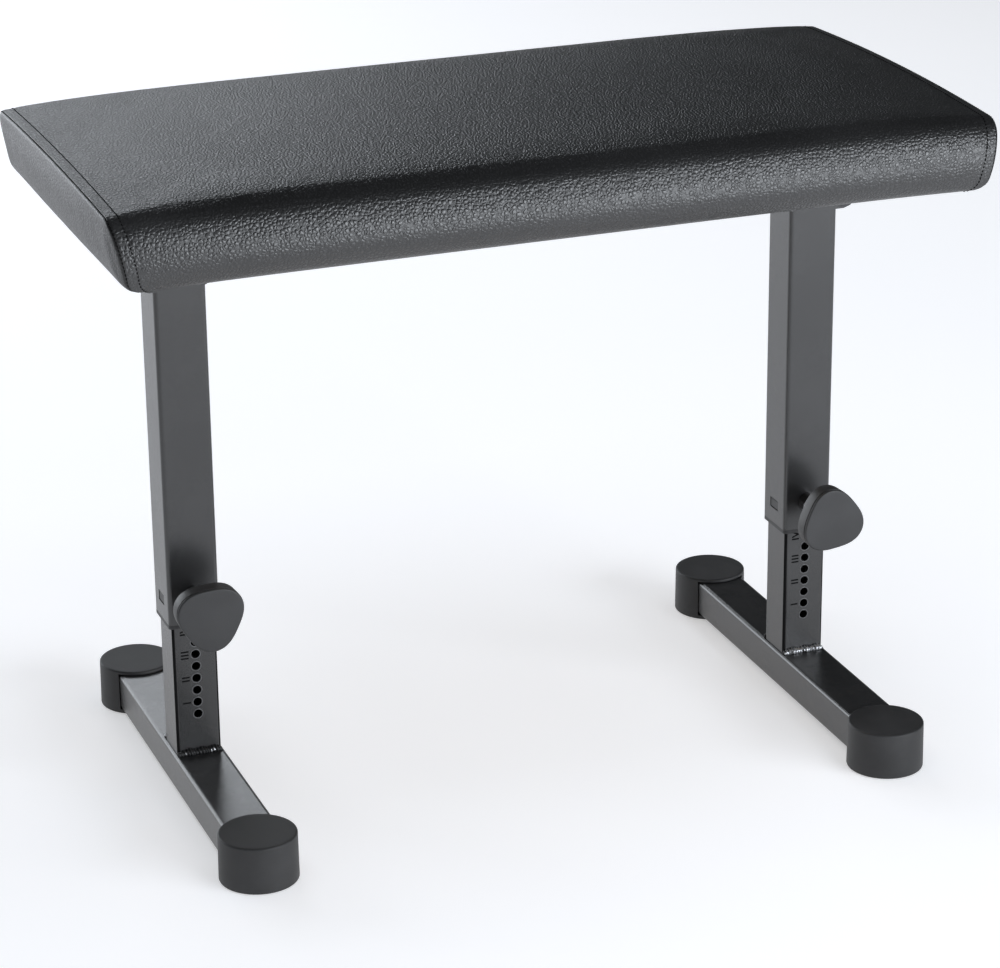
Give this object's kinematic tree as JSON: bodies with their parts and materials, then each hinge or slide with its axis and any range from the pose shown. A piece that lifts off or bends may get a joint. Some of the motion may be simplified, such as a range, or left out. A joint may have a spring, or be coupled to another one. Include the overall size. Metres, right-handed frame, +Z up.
{
  "type": "folding keyboard bench",
  "caption": "Padded bench on two telescopic square-tube legs with clamping knobs, pinned height holes, round rubber feet and hinge brackets that let the legs fold under the seat.",
  "frame": {"origin": "on the floor, midway between the four feet, under the middle of the seat", "axes": "+Z up, +X along the seat towards the right-hand leg, -Y towards the side with the height knobs"},
  "size_m": [0.689, 0.398, 0.52],
  "materials": {
    "seat_cover": "black leatherette, pebbled grain, satin",
    "seat_end_cover": "black leatherette, fine grain, satin, topstitched",
    "foam": "cut polyurethane foam",
    "plywood": "plain sawn plywood",
    "black_steel": "black powder coat, fine texture",
    "zinc_steel": "zinc plated",
    "black_plastic": "moulded, matte",
    "knob_plastic": "moulded, fine spark texture",
    "black_rubber": "moulded, matte"
  },
  "bodies": {
    "seat": {"cover_main_panel": "seat_cover", "cover_left_end_panel": "seat_end_cover", "cover_right_end_panel": "seat_end_cover", "seat_foam": "foam", "seat_board": "plywood", "left_hinge_bracket": "black_steel", "left_pivot_bolt": "zinc_steel", "left_pivot_nut": "zinc_steel", "left_stop_pin": "zinc_steel", "left_lock_nut": "black_steel", "left_bracket_screw_1": "zinc_steel", "left_bracket_screw_2": "zinc_steel", "left_bracket_screw_3": "zinc_steel", "left_bracket_screw_4": "zinc_steel", "right_hinge_bracket": "black_steel", "right_pivot_bolt": "zinc_steel", "right_pivot_nut": "zinc_steel", "right_stop_pin": "zinc_steel", "right_lock_nut": "black_steel", "right_bracket_screw_1": "zinc_steel", "right_bracket_screw_2": "zinc_steel", "right_bracket_screw_3": "zinc_steel", "right_bracket_screw_4": "zinc_steel"},
    "left_upper_leg": {"left_sleeve": "black_steel", "left_pivot_spacer": "black_steel", "left_clamp_boss": "black_steel", "left_guide_bush": "black_plastic"},
    "left_lower_leg": {"left_inner_tube": "black_steel", "left_top_glide": "black_plastic", "left_foot_bar": "black_steel", "left_front_foot": "black_rubber", "left_back_foot": "black_rubber"},
    "left_knob_washer": {"left_knob_washer": "zinc_steel"},
    "left_knob": {"left_knob_body": "knob_plastic", "left_knob_cap": "knob_plastic", "left_knob_screw": "zinc_steel"},
    "left_lock_washer": {"left_lock_washer": "zinc_steel"},
    "left_lock": {"left_lock_grip": "black_plastic", "left_lock_screw": "zinc_steel"},
    "right_upper_leg": {"right_sleeve": "black_steel", "right_pivot_spacer": "black_steel", "right_clamp_boss": "black_steel", "right_guide_bush": "black_plastic"},
    "right_lower_leg": {"right_inner_tube": "black_steel", "right_top_glide": "black_plastic", "right_foot_bar": "black_steel", "right_front_foot": "black_rubber", "right_back_foot": "black_rubber"},
    "right_knob_washer": {"right_knob_washer": "zinc_steel"},
    "right_knob": {"right_knob_body": "knob_plastic", "right_knob_cap": "knob_plastic", "right_knob_screw": "zinc_steel"},
    "right_lock_washer": {"right_lock_washer": "zinc_steel"},
    "right_lock": {"right_lock_grip": "black_plastic", "right_lock_screw": "zinc_steel"}
  },
  "joints": [
    {"name": "left_fold", "type": "hinge", "parent": "seat", "child": "left_upper_leg", "pos_m": [-0.247, 0, 0.432], "axis": [0, -1, 0], "range_deg": [0, 90]},
    {"name": "left_height", "type": "slide", "parent": "left_upper_leg", "child": "left_lower_leg", "axis": [0, 0, 1], "range_m": [-0.08, 0.1]},
    {"name": "left_knob_turn", "type": "hinge", "parent": "left_upper_leg", "child": "left_knob_washer", "pos_m": [-0.257, -0.05, 0.167], "axis": [0, -1, 0], "range_deg": [0, 1440]},
    {"name": "left_knob_travel", "type": "slide", "parent": "left_knob_washer", "child": "left_knob", "axis": [0, -1, 0], "range_m": [0, 0.005]},
    {"name": "left_lock_turn", "type": "hinge", "parent": "seat", "child": "left_lock_washer", "pos_m": [-0.265, 0.035, 0.42], "axis": [0, 1, 0], "range_deg": [0, 1440]},
    {"name": "left_lock_travel", "type": "slide", "parent": "left_lock_washer", "child": "left_lock", "axis": [0, 1, 0], "range_m": [0, 0.004]},
    {"name": "right_fold", "type": "hinge", "parent": "seat", "child": "right_upper_leg", "pos_m": [0.247, 0, 0.432], "axis": [0, 1, 0], "range_deg": [0, 74]},
    {"name": "right_height", "type": "slide", "parent": "right_upper_leg", "child": "right_lower_leg", "axis": [0, 0, 1], "range_m": [-0.08, 0.1]},
    {"name": "right_knob_turn", "type": "hinge", "parent": "right_upper_leg", "child": "right_knob_washer", "pos_m": [0.257, -0.05, 0.167], "axis": [0, -1, 0], "range_deg": [0, 1440]},
    {"name": "right_knob_travel", "type": "slide", "parent": "right_knob_washer", "child": "right_knob", "axis": [0, -1, 0], "range_m": [0, 0.005]},
    {"name": "right_lock_turn", "type": "hinge", "parent": "seat", "child": "right_lock_washer", "pos_m": [0.265, 0.035, 0.42], "axis": [0, 1, 0], "range_deg": [0, 1440]},
    {"name": "right_lock_travel", "type": "slide", "parent": "right_lock_washer", "child": "right_lock", "axis": [0, 1, 0], "range_m": [0, 0.004]}
  ],
  "couplings": [
    {"joint": "left_knob_travel", "follows": "left_knob_turn", "m_per_rad": 0.00019894},
    {"joint": "right_knob_travel", "follows": "right_knob_turn", "m_per_rad": 0.00019894},
    {"joint": "left_lock_travel", "follows": "left_lock_turn", "m_per_rad": 0.00015915},
    {"joint": "right_lock_travel", "follows": "right_lock_turn", "m_per_rad": 0.00015915}
  ]
}
